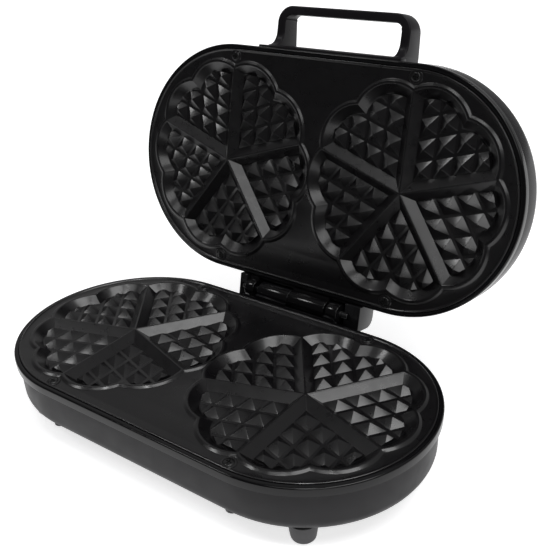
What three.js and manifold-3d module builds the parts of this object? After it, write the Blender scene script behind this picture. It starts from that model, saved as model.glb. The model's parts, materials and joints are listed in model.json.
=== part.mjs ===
// Double heart waffle maker: a stadium-shaped base and lid joined by a rear hinge, each with
// a cast plate that holds two rosettes of five heart cells. Millimetres, +Z up.
// The front (the handle side of the closed lid) is -Y and the hinge is at +Y.
// Inside a half, z is counted from the parting plane. The lid stands open, as modelled at rest.
import * as THREE from 'three';
import { mergeVertices } from 'three/addons/utils/BufferGeometryUtils.js';
import Module from 'manifold-3d';

const wasm = await Module();
wasm.setup();

// ---- Driving dimensions ----
const SPAN = 78;              // half the distance between the two rosettes' centres
const FLOOR_DEPTH = 52.5;     // table to parting plane
const HALF_GAP = 1.0;         // half the distance between the two halves' parting planes
const OPEN_ANGLE = THREE.MathUtils.degToRad(103);
const HINGE_Y = 99.9;
const HINGE_Z = 1.4;          // hinge axis above the base's parting plane
const ARC_STEPS = 18;         // facets on each round end of the stadium

const PLATE_R = 86;           // plate edge, from a rosette's centre
const PLATE_TOP = -0.7;       // flat of the plate
const PLATE_BOTTOM = -3.5;
const LIP_WIDTH = 1.4;
const LIP_TOP = 0.1;

const LOBE_CENTRE = 47.6;     // rosette centre to the centre of a lobe
const LOBE_R = 28.6;          // lobe radius at the parting plane
const LOBE_STEPS = 5;        // facets on each lobe
const CELL_FLOOR = -4.8;
const WALL_RUN = 1.146;       // sideways run of the cell walls for each mm of depth
const RIDGE_HALF = 1.25;      // half width of a divider at the parting plane
const BEAD_TOP = 0.75;
const BEAD_WIDTH = 4.5;
const TUB_BOTTOM = -7.6;
const TUB_INSET = 1.0;

const PYRAMID_START = 6.9;    // first pyramid's corner, along both sides of a heart
const PYRAMID_PITCH = 15.4;
const PYRAMID_SIDE = 13.2;
const PYRAMID_TOP = -0.1;
const PYRAMID_ROWS = 4;       // pyramids along each side of a heart
const PYRAMID_SUNK = 0.4;     // depth of each pyramid inside the floor

const SCREW_Y = 80.5;
const SCREW_HEAD_R = 3.5;
const SCREW_SHANK_R = 1.6;
const SCREW_SEAT = -1.0;      // underside of the plate screws' heads
const PLATE_SCREW = 15;       // shank length
const CLEAR = 0.3;            // gap between neighbouring pieces

const BEZEL_R = 89.7;
const BEZEL_TOP = -0.6;
const BEZEL_SKIRT = -7.0;     // lower edge of the bezel's outer wall
const SKIRT_R = 86.9;         // inside of that wall
const LEDGE_R = 77;
const LEDGE_TOP = PLATE_BOTTOM - CLEAR;
const LEDGE_BOTTOM = -6.0;

const SHELL_R = 87.2;
const LID_SHELL_R = 89.0;
const SHELL_TOP = BEZEL_SKIRT - CLEAR;
const RIM_R = SKIRT_R - CLEAR; // rim of both shells, inside the bezel's wall
const RIM_TOP = LEDGE_BOTTOM - CLEAR;
const SHELL_WALL = 2.4;
const BASE_BOTTOM = -38;
const BASE_CORNER = 9.5;
const COVER_R = 62.6;
const COVER_THICK = 1.2;
const COVER_SEAT = 5.6;       // width of the ledge that carries the bottom cover
const COVER_SCREW_HOLE_R = 1.7;
const LID_TOP = -35.3;        // lid depth, counted from the lid's own parting plane
const LID_CORNER = 14;
const BOSS_R = 4.6;
const POST_R = 3;
const VENT_PITCH = 9;
const VENT_HALF_LENGTH = 17;
const VENT_HALF_WIDTH = 1.6;

const HEATER_R = 46;
const HEATER_TUBE_R = 3.2;
const HEATER_Z = -11.4;
const REFLECTOR_R = 74;
const REFLECTOR_Z = -20;

const GLAND_X = 70;
const GLAND_Y = 82.3;         // inner end of the gland
const GLAND_Z = -25;
const GLAND_R = 5.2;
const LAMP_X = [-13, 13];
const LAMP_Y = -62;
const LAMP_R = 3;

const BARREL_R = 7.5;
const KNUCKLE_MEETING = -2.2; // where the two long knuckles meet
const LONG_KNUCKLE_END = 31.5;
const LID_SHORT_KNUCKLE = [-44.3, -36];
const BASE_SHORT_KNUCKLE = [33.2, 43];
const BRACKET_HALF = 45;
const BRACKET_FRONT = HINGE_Y - 9.9;
const BRACKET_BACK = HINGE_Y - 7.8;
const PIN_R = 2.4;
const PIN_HALF = 50;
const HOUSING_ENDS = [-54, 60];
const HOUSING_BACK = HINGE_Y + 10.3;
const HOUSING_TOP = 23;
const HOUSING_CORNER = 8;
const HOUSING_SKIN = 2.2;
const CHEEK_INNER = 47;

const HANDLE_HALF = 57.6;
const HANDLE_FRONT = 121.7;   // grip bar's far side, from the centre line
const HANDLE_LOW = 25.8;      // grip faces above the base's parting plane, lid closed
const HANDLE_HIGH = 42;
const HANDLE_LEG = 7.3;
const HANDLE_BAR = 6.6;
const HANDLE_CORNER = 13;
const HANDLE_ROOT = 91.8;
const HANDLE_FLARE = 10;      // radius of the hollow curve at the foot of each leg
const HANDLE_DRAFT = 3.6;     // how much deeper a leg is at its foot
const HANDLE_STEP = 16;       // lower face of the saddle
const HANDLE_EDGE = 1.0;
const STRIP_HALF = 61.4;      // the longer strip along the saddle's lower edge
const HANDLE_SCREW_X = [-40, 40];
const HANDLE_SCREW_Z = 18;
const HANDLE_BOSS_R = 4.5;
const HANDLE_SCREW = 6;       // shank length
const HANDLE_SEAT = 84.3;     // underside of the handle screws' heads, from the centre line

// ---- Materials ----
const paint = (color, roughness, metalness) =>
  new THREE.MeshStandardMaterial({ color, roughness, metalness });
const SHELL_PLASTIC = [0x4b494c, 0.55, 0.0];
const GLOSS_PLASTIC = [0x1d1b1e, 0.22, 0.0];
const NONSTICK = [0x232124, 0.32, 0.35];
const STEEL = [0xb9bbbd, 0.35, 1.0];
const DARK_STEEL = [0x3a3a3d, 0.4, 0.9];
const RUBBER = [0x2a282a, 0.85, 0.0];
const COPPER_WIRE = [0x8c2f28, 0.6, 0.0];
const CERAMIC = [0xd8d2c4, 0.6, 0.0];
const LENS_RED = [0xb3201a, 0.15, 0.0];
const LENS_GREEN = [0x1d8a3a, 0.15, 0.0];

// ---- Solids and booleans ----
function toSolid(geometry) {
  const bare = geometry.clone();
  bare.deleteAttribute('normal');
  bare.deleteAttribute('uv');
  const merged = mergeVertices(bare, 1e-4);
  return new wasm.Manifold(new wasm.Mesh({
    numProp: 3,
    vertProperties: new Float32Array(merged.attributes.position.array),
    triVerts: new Uint32Array(merged.index.array),
  }));
}

function fromSolid(solid) {
  const mesh = solid.getMesh();
  return indexed(mesh.vertProperties, mesh.triVerts);
}

function indexed(positions, indices) {
  const geometry = new THREE.BufferGeometry();
  geometry.setAttribute('position', new THREE.Float32BufferAttribute(Array.from(positions), 3));
  geometry.setIndex(Array.from(indices));
  geometry.computeVertexNormals();
  return geometry;
}

function join(first, ...others) {
  return others.reduce((sum, other) => sum.add(toSolid(other)), toSolid(first));
}

function cut(solid, ...tools) {
  return tools.reduce((rest, tool) => rest.subtract(toSolid(tool)), solid);
}

// ---- Basic shapes ----
function box(x0, x1, y0, y1, z0, z1) {
  const geometry = new THREE.BoxGeometry(x1 - x0, y1 - y0, z1 - z0);
  return geometry.translate((x0 + x1) / 2, (y0 + y1) / 2, (z0 + z1) / 2);
}

function post(radius, z0, z1, x = 0, y = 0, sides = 16) {
  const geometry = new THREE.CylinderGeometry(radius, radius, Math.abs(z1 - z0), sides);
  return geometry.rotateX(Math.PI / 2).translate(x, y, (z0 + z1) / 2);
}

function rodX(radius, x0, x1, y, z, sides = 16) {
  const geometry = new THREE.CylinderGeometry(radius, radius, x1 - x0, sides);
  return geometry.rotateZ(Math.PI / 2).translate((x0 + x1) / 2, y, z);
}

function rodY(radius, y0, y1, x, z, sides = 16) {
  return new THREE.CylinderGeometry(radius, radius, y1 - y0, sides).translate(x, (y0 + y1) / 2, z);
}

function turned(profile, sides = 20) {
  const points = profile.map(([r, z]) => new THREE.Vector2(r, z));
  return new THREE.LatheGeometry(points, sides).rotateX(Math.PI / 2);
}

function extruded(shape, z0, z1, curveSegments = ARC_STEPS) {
  const geometry = new THREE.ExtrudeGeometry(shape, {
    depth: z1 - z0, bevelEnabled: false, steps: 1, curveSegments,
  });
  return geometry.translate(0, 0, z0);
}

// A shape drawn in (y, z) and extruded along X.
function extrudedAlongX(points, x0, x1) {
  const shape = new THREE.Shape(points.map(([y, z]) => new THREE.Vector2(y, z)));
  const geometry = new THREE.ExtrudeGeometry(shape, { depth: x1 - x0, bevelEnabled: false });
  return geometry.rotateY(Math.PI / 2).rotateX(Math.PI / 2).translate(x0, 0, 0);
}

// Stacked closed outlines of equal point count, joined by side faces and capped at both ends.
function loft(layers) {
  const count = layers[0].outline.length;
  const positions = layers.flatMap(({ outline, z }) => outline.flatMap((p) => [p.x, p.y, z]));
  const indices = [];
  for (let level = 0; level + 1 < layers.length; level += 1) {
    for (let i = 0; i < count; i += 1) {
      const a = level * count + i;
      const b = level * count + (i + 1) % count;
      indices.push(a, b, b + count, a, b + count, a + count);
    }
  }
  const top = (layers.length - 1) * count;
  for (const [a, b, c] of THREE.ShapeUtils.triangulateShape(layers[0].outline, [])) {
    indices.push(c, b, a);
  }
  for (const [a, b, c] of THREE.ShapeUtils.triangulateShape(layers.at(-1).outline, [])) {
    indices.push(top + a, top + b, top + c);
  }
  return indexed(positions, indices);
}

// ---- The stadium: two half rounds about x = +SPAN and x = -SPAN ----
function stadiumDirections() {
  const directions = [];
  for (const side of [1, -1]) {
    for (let i = 0; i <= ARC_STEPS; i += 1) {
      const angle = side * -Math.PI / 2 + (Math.PI * i) / ARC_STEPS;
      directions.push({ x: side * SPAN, cos: Math.cos(angle), sin: Math.sin(angle) });
    }
  }
  return directions;
}

function stadiumOutline(radius) {
  return stadiumDirections().map(({ x, cos, sin }) =>
    new THREE.Vector2(x + radius * cos, radius * sin));
}

function stadiumSlab(radius, z0, z1) {
  const outline = stadiumOutline(radius);
  return loft([{ outline, z: z0 }, { outline, z: z1 }]);
}

// A closed profile of [distance, z] points, counter-clockwise, carried round the stadium.
function stadiumRing(profile) {
  const directions = stadiumDirections();
  const rows = profile.length;
  const positions = directions.flatMap(({ x, cos, sin }) =>
    profile.flatMap(([r, z]) => [x + r * cos, r * sin, z]));
  const indices = [];
  directions.forEach((_, station) => {
    const next = (station + 1) % directions.length;
    for (let i = 0; i < rows; i += 1) {
      const j = (i + 1) % rows;
      const [a, b] = [station * rows + i, next * rows + i];
      const [c, d] = [next * rows + j, station * rows + j];
      indices.push(a, b, c, a, c, d);
    }
  });
  return indexed(positions, indices);
}

function quarterArc(centreR, centreZ, radius, from, to, steps) {
  return Array.from({ length: steps + 1 }, (_, i) => {
    const angle = THREE.MathUtils.degToRad(from + ((to - from) * i) / steps);
    return [centreR + radius * Math.cos(angle), centreZ + radius * Math.sin(angle)];
  });
}

// ---- Rosette and heart outlines ----
const RAD18 = Math.PI / 10;
const AXIAL = LOBE_CENTRE * Math.cos(RAD18);
const LATERAL = LOBE_CENTRE * Math.sin(RAD18);

// Ten lobes, with every second notch on a divider. offset grows the outline.
function rosetteOutline(centreX, offset, steps = LOBE_STEPS) {
  const r = LOBE_R + offset;
  const notch = AXIAL + Math.sqrt(r * r - LATERAL * LATERAL);
  const reach = Math.atan2(notch * Math.sin(RAD18), notch * Math.cos(RAD18) - LOBE_CENTRE);
  const points = [];
  for (let lobe = 0; lobe < 10; lobe += 1) {
    const middle = lobe * 2 * RAD18;
    for (let i = 0; i < steps; i += 1) {
      const angle = middle - reach + (2 * reach * i) / steps;
      points.push(new THREE.Vector2(
        centreX + LOBE_CENTRE * Math.cos(middle) + r * Math.cos(angle),
        LOBE_CENTRE * Math.sin(middle) + r * Math.sin(angle)));
    }
  }
  return points;
}

// One heart about its axis +X: tip, side, two lobes, side. inset moves the lobes in, and
// sideGap is the distance that the straight sides keep from the dividers' centre lines.
function heartOutline(inset, sideGap) {
  const r = LOBE_R - inset;
  const along = AXIAL + Math.sqrt(r * r - (sideGap - LATERAL) ** 2);
  const cusp = AXIAL + Math.sqrt(r * r - LATERAL * LATERAL);
  const side = new THREE.Vector2(along, sideGap).rotateAround(new THREE.Vector2(), -2 * RAD18);
  const start = Math.atan2(side.y + LATERAL, side.x - AXIAL);
  const end = Math.atan2(LATERAL, cusp - AXIAL);
  const lobe = Array.from({ length: LOBE_STEPS + 1 }, (_, i) => {
    const angle = start + ((end - start) * i) / LOBE_STEPS;
    return new THREE.Vector2(AXIAL + r * Math.cos(angle), -LATERAL + r * Math.sin(angle));
  });
  const mirrored = lobe.slice(0, -1).reverse().map((p) => new THREE.Vector2(p.x, -p.y));
  return [new THREE.Vector2(sideGap / Math.sin(2 * RAD18), 0), ...lobe, ...mirrored];
}

function heartLayer(z, extra = 0) {
  const inset = -z * WALL_RUN + extra;
  return { outline: heartOutline(inset, inset + RIDGE_HALF), z };
}

function heartAxes() {
  return [0, 1, 2, 3, 4].map((k) => THREE.MathUtils.degToRad(-54 + 72 * k));
}

// ---- Waffle plate ----
function pyramid(row, column) {
  const base = CELL_FLOOR - PYRAMID_SUNK;
  const side = PYRAMID_SIDE * ((PYRAMID_TOP - base) / (PYRAMID_TOP - CELL_FLOOR));
  const [lengthwise, crosswise] = [Math.cos(2 * RAD18), Math.sin(2 * RAD18)];
  const first = PYRAMID_START + PYRAMID_SIDE / 2;
  const [a, b] = [first + row * PYRAMID_PITCH, first + column * PYRAMID_PITCH];
  return new THREE.ConeGeometry(1, PYRAMID_TOP - base, 4)
    .rotateX(Math.PI / 2)
    .scale(side * lengthwise, side * crosswise, 1)
    .translate((a + b) * lengthwise, (b - a) * crosswise, (PYRAMID_TOP + base) / 2);
}

function pyramidField() {
  const pyramids = [];
  for (let row = 0; row < PYRAMID_ROWS; row += 1) {
    for (let column = 0; row + column < PYRAMID_ROWS; column += 1) {
      pyramids.push(pyramid(row, column));
    }
  }
  return fromSolid(join(...pyramids));
}

function rosettePiece(piece, axis, centreX) {
  return piece.clone().rotateZ(axis).translate(centreX, 0, 0);
}

function screwPlaces() {
  return [[-SPAN, -SCREW_Y], [SPAN, -SCREW_Y], [-SPAN, SCREW_Y], [SPAN, SCREW_Y]];
}

function wafflePlate() {
  const centres = [-SPAN, SPAN];
  const lip = stadiumRing([
    [PLATE_R - LIP_WIDTH, PLATE_TOP - 0.5],
    [PLATE_R, PLATE_TOP - 0.5],
    [PLATE_R, LIP_TOP],
    [PLATE_R - LIP_WIDTH / 2, LIP_TOP],
  ]);
  const beads = centres.map((x) => loft([
    { outline: rosetteOutline(x, BEAD_WIDTH), z: PLATE_TOP - 0.5 },
    { outline: rosetteOutline(x, BEAD_WIDTH - 0.1), z: PLATE_TOP + 0.1 },
    { outline: rosetteOutline(x, BEAD_WIDTH - 1.6), z: BEAD_TOP },
  ]));
  const tubs = centres.map((x) => extruded(
    new THREE.Shape(rosetteOutline(x, -TUB_INSET, 3)), TUB_BOTTOM, PLATE_BOTTOM + 0.5));
  const bosses = screwPlaces().map(([x, y]) => post(5.2, PLATE_TOP - 1, PLATE_TOP + 0.6, x, y, 12));
  const holes = screwPlaces().flatMap(([x, y]) => [
    post(SCREW_HEAD_R + CLEAR, SCREW_SEAT - CLEAR, 3, x, y, 12),
    post(SCREW_SHANK_R + CLEAR, PLATE_BOTTOM - 1, 3, x, y, 8),
  ]);
  const blank = join(stadiumSlab(PLATE_R, PLATE_BOTTOM, PLATE_TOP), lip, ...beads, ...tubs, ...bosses);
  const cutter = loft([heartLayer(CELL_FLOOR), heartLayer(BEAD_TOP + 0.5)]);
  const field = pyramidField();
  const places = centres.flatMap((x) => heartAxes().map((axis) => [axis, x]));
  const cells = cut(blank, ...places.map(([axis, x]) => rosettePiece(cutter, axis, x)));
  const filled = places.reduce(
    (sum, [axis, x]) => sum.add(toSolid(rosettePiece(field, axis, x))), cells);
  return fromSolid(cut(filled, ...holes));
}

// The underside of the head is at z = 0 and the shank points down.
function phillipsScrew(headR, headHeight, shankLength, shankR) {
  const head = turned([
    [0, 0], [headR, 0], [headR, headHeight - 0.5], [headR * 0.7, headHeight], [0, headHeight],
  ], 12);
  const shank = post(shankR, -shankLength, 0.2, 0, 0, 8);
  const slots = [0, Math.PI / 2].map((turn) =>
    box(-headR * 0.6, headR * 0.6, -0.45, 0.45, headHeight - 0.8, headHeight + 1).rotateZ(turn));
  return fromSolid(cut(join(head, shank), ...slots));
}

// ---- Bezel ----
function bezel() {
  const ring = stadiumRing([
    [LEDGE_R, LEDGE_BOTTOM],
    [SKIRT_R, LEDGE_BOTTOM],
    [SKIRT_R, BEZEL_SKIRT],
    [BEZEL_R, BEZEL_SKIRT],
    [BEZEL_R, BEZEL_TOP - 1.2],
    [BEZEL_R - 1.2, BEZEL_TOP],
    [PLATE_R + CLEAR, BEZEL_TOP],
    [PLATE_R + CLEAR, LEDGE_TOP],
    [LEDGE_R, LEDGE_TOP],
  ]);
  const holes = screwPlaces().map(([x, y]) =>
    post(SCREW_SHANK_R + CLEAR, LEDGE_BOTTOM - 1, LEDGE_TOP + 1, x, y, 8));
  return fromSolid(cut(toSolid(ring), ...holes));
}

// ---- Shells ----
function shellBosses(bottom) {
  return screwPlaces().map(([x, y]) => post(BOSS_R, bottom, LEDGE_BOTTOM - CLEAR, x, y, 12));
}

function bossHoles() {
  return screwPlaces().map(([x, y]) => post(SCREW_SHANK_R + CLEAR, -20, 0, x, y, 8));
}

function reflectorPosts(x, y, bottom) {
  return [[-x, -y], [x, -y], [-x, y], [x, y]].map(([px, py]) =>
    post(POST_R, bottom, REFLECTOR_Z - CLEAR, px, py, 8));
}

// The top edge that both shells share: a rim inside the bezel's wall and a step under it.
function shellEdge(radius) {
  return [
    [radius, SHELL_TOP - 0.5],
    [radius - 0.5, SHELL_TOP],
    [RIM_R, SHELL_TOP],
    [RIM_R, RIM_TOP],
    [SHELL_R - SHELL_WALL, RIM_TOP],
  ];
}

function baseShell() {
  const inner = SHELL_R - SHELL_WALL;
  const ledge = BASE_BOTTOM + COVER_THICK + CLEAR;
  const floorTop = ledge + 2;
  const cornerZ = BASE_BOTTOM + BASE_CORNER;
  const cornerR = SHELL_R - 0.3 - BASE_CORNER;
  const ring = stadiumRing([
    ...shellEdge(SHELL_R),
    [inner, cornerZ],
    [inner - 2, floorTop + 2],
    [cornerR, floorTop],
    [COVER_R - COVER_SEAT, floorTop],
    [COVER_R - COVER_SEAT, ledge],
    [COVER_R + CLEAR, ledge],
    [COVER_R + CLEAR, BASE_BOTTOM],
    ...quarterArc(cornerR, cornerZ, BASE_CORNER, -90, 0, 4),
  ]);
  const solid = join(ring, ...shellBosses(floorTop - 1.4), ...reflectorPosts(SPAN, 66, floorTop - 0.6));
  const screwHoles = coverScrewPlaces().map(([x, y]) =>
    post(COVER_SCREW_HOLE_R, BASE_BOTTOM, 0, x, y, 8));
  const glandHole = rodY(GLAND_R + CLEAR, GLAND_Y - 3, GLAND_Y + 12, GLAND_X, GLAND_Z, 12);
  return fromSolid(cut(solid, ...bossHoles(), ...screwHoles, glandHole));
}

function lidShell() {
  const inner = LID_SHELL_R - SHELL_WALL;
  const cornerZ = LID_TOP + LID_CORNER;
  const cornerR = LID_SHELL_R + 0.4 - LID_CORNER;
  const roof = LID_TOP + SHELL_WALL;
  const ring = stadiumRing([
    ...shellEdge(LID_SHELL_R),
    [SHELL_R - SHELL_WALL, SHELL_TOP - 1],
    [inner, SHELL_TOP - 3],
    [inner, cornerZ],
    [inner - 3.2, roof + 3],
    [cornerR - 1, roof],
    [cornerR - 1, LID_TOP],
    ...quarterArc(cornerR, cornerZ, LID_CORNER, -90, 0, 4),
  ]);
  const top = stadiumSlab(cornerR - 0.5, LID_TOP, roof);
  const solid = join(ring, top, ...shellBosses(roof - 0.6), ...reflectorPosts(36, 56, roof - 0.6));
  const lampHoles = LAMP_X.map((x) => post(LAMP_R + CLEAR, LID_TOP - 2, roof + 2, x, LAMP_Y, 12));
  const handleHoles = HANDLE_SCREW_X.map((x) =>
    rodY(HANDLE_BOSS_R + CLEAR, -95, -80, x, 2 * HALF_GAP - HANDLE_SCREW_Z, 12));
  return fromSolid(cut(solid, ...bossHoles(), ...lampHoles, ...handleHoles));
}

// ---- Underside ----
function coverScrewPlaces() {
  const reach = (COVER_R - 2.8) / Math.SQRT2;
  return [[-1, -1], [1, -1], [-1, 1], [1, 1]].map(([sx, sy]) => [sx * (SPAN + reach), sy * reach]);
}

function bottomCover() {
  const plate = stadiumSlab(COVER_R, BASE_BOTTOM, BASE_BOTTOM + COVER_THICK);
  const holes = coverScrewPlaces().map(([x, y]) =>
    post(COVER_SCREW_HOLE_R, BASE_BOTTOM - 1, 0, x, y, 8));
  const vents = [-1, 1].flatMap((side) => [-2, -1, 0, 1, 2].map((k) => {
    const [x, y] = [side * (SPAN - 8), k * VENT_PITCH];
    return box(x - VENT_HALF_LENGTH, x + VENT_HALF_LENGTH, y - VENT_HALF_WIDTH, y + VENT_HALF_WIDTH,
      BASE_BOTTOM - 1, BASE_BOTTOM + 3);
  }));
  return fromSolid(cut(toSolid(plate), ...holes, ...vents));
}

function foot() {
  return turned([
    [0, -FLOOR_DEPTH], [5.2, -FLOOR_DEPTH], [6.9, -FLOOR_DEPTH + 0.7], [7.8, -FLOOR_DEPTH + 2.4],
    [8.3, -FLOOR_DEPTH + 5], [9.6, BASE_BOTTOM - CLEAR - 0.8], [9.6, BASE_BOTTOM - CLEAR],
    [0, BASE_BOTTOM - CLEAR],
  ], 18);
}

// ---- Heating ----
function tubeAlong(points, radius, steps, sides) {
  const section = new THREE.Shape();
  section.absarc(0, 0, radius, 0, 2 * Math.PI);
  const path = new THREE.CatmullRomCurve3(points.map((p) => new THREE.Vector3(...p)));
  return new THREE.ExtrudeGeometry(section, {
    steps, extrudePath: path, curveSegments: sides, bevelEnabled: false,
  });
}

// A loop under both rosettes, open at the rear, with its two cold ends turned outwards.
function heater() {
  const half = [];
  for (let degrees = 90; degrees >= -90; degrees -= 22.5) {
    const angle = THREE.MathUtils.degToRad(degrees);
    half.push([SPAN + HEATER_R * Math.cos(angle), HEATER_R * Math.sin(angle), HEATER_Z]);
  }
  const right = [[22, 62, HEATER_Z], [26, 51, HEATER_Z], [45, HEATER_R, HEATER_Z], ...half,
    [30, -HEATER_R, HEATER_Z]];
  const left = right.map(([x, y, z]) => [-x, y, z]).reverse();
  return tubeAlong([...right, ...left], HEATER_TUBE_R, 44, 3);
}

function reflector(thickness) {
  const floor = stadiumSlab(REFLECTOR_R, REFLECTOR_Z, REFLECTOR_Z + thickness);
  const rim = stadiumRing([
    [REFLECTOR_R - thickness, REFLECTOR_Z + thickness / 2],
    [REFLECTOR_R, REFLECTOR_Z + thickness / 2],
    [REFLECTOR_R, REFLECTOR_Z + 8],
    [REFLECTOR_R - thickness, REFLECTOR_Z + 8],
  ]);
  return fromSolid(join(floor, rim));
}

// ---- Electrical parts ----
function cordGland() {
  return new THREE.LatheGeometry([
    [3, 0], [GLAND_R, 0], [GLAND_R, 5.2], [7.6, 5.2], [7.6, 7.6], [6.2, 9.4], [3, 9.4], [3, 0],
  ].map(([r, y]) => new THREE.Vector2(r, y)), 16).translate(GLAND_X, GLAND_Y, GLAND_Z);
}

function thermostat() {
  const top = PLATE_BOTTOM - CLEAR;
  const body = post(8, top - 7, top, 0, 64, 16);
  const tags = [-4, 4].map((x) => box(x - 2, x + 2, 63.6, 64.4, top - 12, top - 6.5));
  return fromSolid(join(body, ...tags));
}

function thermalFuse() {
  const z = PLATE_BOTTOM - CLEAR - 2.6;
  return fromSolid(join(rodX(2.5, -9, 9, -62, z, 10), rodX(0.8, -20, 20, -62, z, 6)));
}

function terminalBlock() {
  const body = box(30, 62, 30, 46, BASE_BOTTOM + COVER_THICK + CLEAR, -24);
  const slots = [38, 46, 54].map((x) => box(x - 2.4, x + 2.4, 33, 43, -28, -20));
  return fromSolid(cut(toSolid(body), ...slots));
}

function supplyWires() {
  return tubeAlong([[GLAND_X, GLAND_Y - 1.2, GLAND_Z], [69, 73, -27], [60, 62, -29], [52, 54, -29],
    [50, 49, -29]], 2.2, 10, 3);
}

function lidWires() {
  return tubeAlong([[33, 84, -20], [33, 78, -24], [28, 70, -24.5], [10, 64, -24.5],
    [-12, 60, -24.5]], 2.2, 10, 3);
}

function lampLens() {
  const roof = LID_TOP;
  return turned([
    [0, roof - 1.6], [2.4, roof - 1.4], [4.0, roof - CLEAR - 0.5], [4.0, roof - CLEAR],
    [LAMP_R, roof - CLEAR], [LAMP_R, roof + 5], [0, roof + 5],
  ], 14);
}

// ---- Hinge ----
// Each half of the hinge carries a long knuckle on one side and a short one at the far end of
// the other side. The lid's long knuckle is at +X and the base's at -X.
function knuckles(spans, webLow, webHigh) {
  return spans.flatMap(([a, b]) => [
    box(a, b, BRACKET_FRONT, HINGE_Y - 0.5, HINGE_Z + webLow, HINGE_Z + webHigh),
    rodX(BARREL_R, a, b, HINGE_Y, HINGE_Z, 20),
  ]);
}

function boredForPin(solid) {
  return fromSolid(cut(solid, rodX(PIN_R + CLEAR, -PIN_HALF, PIN_HALF, HINGE_Y, HINGE_Z, 12)));
}

// A pad reaches under the bezel to the shell, and a rib stops the open lid.
function baseHingeBracket() {
  const plate = box(-BRACKET_HALF, BRACKET_HALF, BRACKET_FRONT, BRACKET_BACK, HINGE_Z - 17, HINGE_Z - 2.4);
  const pad = box(-40, 40, SHELL_R + CLEAR, BRACKET_FRONT + 1, HINGE_Z - 17, SHELL_TOP - 0.5);
  const stop = box(-44, 44, HINGE_Y - 9, HINGE_Y - 4.1, HINGE_Z - 11, HINGE_Z - 8.6);
  const spans = [[-LONG_KNUCKLE_END, KNUCKLE_MEETING - CLEAR], BASE_SHORT_KNUCKLE];
  return boredForPin(join(plate, pad, stop, ...knuckles(spans, -4.9, 0)));
}

// The short knuckle is squared off and reaches back into the housing.
function lidHingeBracket() {
  const plate = box(-BRACKET_HALF, BRACKET_HALF, BRACKET_FRONT, BRACKET_BACK, HINGE_Z + 3, HINGE_Z + 17);
  const pad = box(-40, 40, LID_SHELL_R + 0.4 + CLEAR, BRACKET_FRONT + 1,
    2 * HALF_GAP - SHELL_TOP + 0.5, HINGE_Z + 17);
  const [a, b] = LID_SHORT_KNUCKLE;
  const square = box(a + 0.1, b - 0.1, HINGE_Y - 7.2, HINGE_Y + 1, HINGE_Z + 1, HINGE_Z + 15);
  const spans = [[KNUCKLE_MEETING + CLEAR, LONG_KNUCKLE_END], LID_SHORT_KNUCKLE];
  return boredForPin(join(plate, pad, square, ...knuckles(spans, 0, 5)));
}

function housingOutline(front, back, low, high, corner) {
  return [[front, low], [back, low], ...quarterArc(back - corner, high - corner, corner, 0, 90, 4),
    [front, high]];
}

function hingeHousing() {
  const outside = housingOutline(BRACKET_FRONT, HOUSING_BACK, 0.2, HOUSING_TOP, HOUSING_CORNER);
  const inside = housingOutline(BRACKET_FRONT - 1, HOUSING_BACK - HOUSING_SKIN, -1,
    HOUSING_TOP - HOUSING_SKIN, HOUSING_CORNER - HOUSING_SKIN);
  const block = extrudedAlongX(outside, ...HOUSING_ENDS);
  const cavity = extrudedAlongX(inside, -CHEEK_INNER, CHEEK_INNER);
  const bore = rodX(PIN_R + CLEAR, -PIN_HALF - 1, PIN_HALF + 1, HINGE_Y, HINGE_Z, 12);
  return fromSolid(cut(toSolid(block), cavity, bore));
}

// ---- Handle ----
function gripOutline(half, front, corner, root) {
  const shape = new THREE.Shape();
  shape.moveTo(half, -root);
  shape.lineTo(-half, -root);
  shape.lineTo(-half, -front + corner);
  shape.absarc(-half + corner, -front + corner, corner, Math.PI, Math.PI * 1.5);
  shape.absarc(half - corner, -front + corner, corner, Math.PI * 1.5, Math.PI * 2);
  shape.closePath();
  return shape;
}

function grip() {
  const outline = gripOutline(
    HANDLE_HALF - HANDLE_EDGE, HANDLE_FRONT - HANDLE_EDGE, HANDLE_CORNER - HANDLE_EDGE, HANDLE_ROOT - 6);
  const body = new THREE.ExtrudeGeometry(outline, {
    depth: HANDLE_HIGH - HANDLE_LOW - 2 * HANDLE_EDGE, bevelEnabled: true, bevelSize: HANDLE_EDGE,
    bevelThickness: HANDLE_EDGE, bevelSegments: 1, curveSegments: 6,
  }).translate(0, 0, HANDLE_LOW + HANDLE_EDGE);
  const opening = extruded(
    gripOutline(HANDLE_HALF - HANDLE_LEG, HANDLE_FRONT - HANDLE_BAR, HANDLE_CORNER - HANDLE_BAR, 60),
    HANDLE_LOW - 5, HANDLE_HIGH + 5, 6);
  return cut(toSolid(body), opening);
}

// The foot of a leg: its lower face drops in a hollow quarter curve and its upper face rises.
function legFoot(side) {
  const curve = quarterArc(0, 0, 1, 90, 0, 6).map(([a, b]) => [
    -HANDLE_ROOT - HANDLE_FLARE * (1 - a), HANDLE_STEP + (HANDLE_LOW - HANDLE_STEP) * b]);
  const slopeEnd = -HANDLE_FRONT + 3;
  const outline = [[slopeEnd, HANDLE_HIGH], [slopeEnd, HANDLE_HIGH - 3], ...curve,
    [-HANDLE_ROOT + 1, HANDLE_STEP], [-HANDLE_ROOT + 1, HANDLE_HIGH + HANDLE_DRAFT],
    [-HANDLE_ROOT, HANDLE_HIGH + HANDLE_DRAFT]];
  const inner = side * (HANDLE_HALF - HANDLE_LEG);
  const outer = side * HANDLE_HALF;
  return extrudedAlongX(outline, Math.min(inner, outer), Math.max(inner, outer));
}

// The outside of the lid grown by the clearance, in the closed lid's place.
function lidRoom() {
  const reach = LID_SHELL_R + 0.4 + CLEAR;
  const corner = quarterArc(reach - LID_CORNER, LID_TOP + LID_CORNER - CLEAR, LID_CORNER, 0, -90, 5);
  const layers = [[reach, 0], ...corner].map(([r, z]) => ({ outline: stadiumOutline(r), z }));
  return toLidFrame(loft(layers.reverse()));
}

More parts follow.
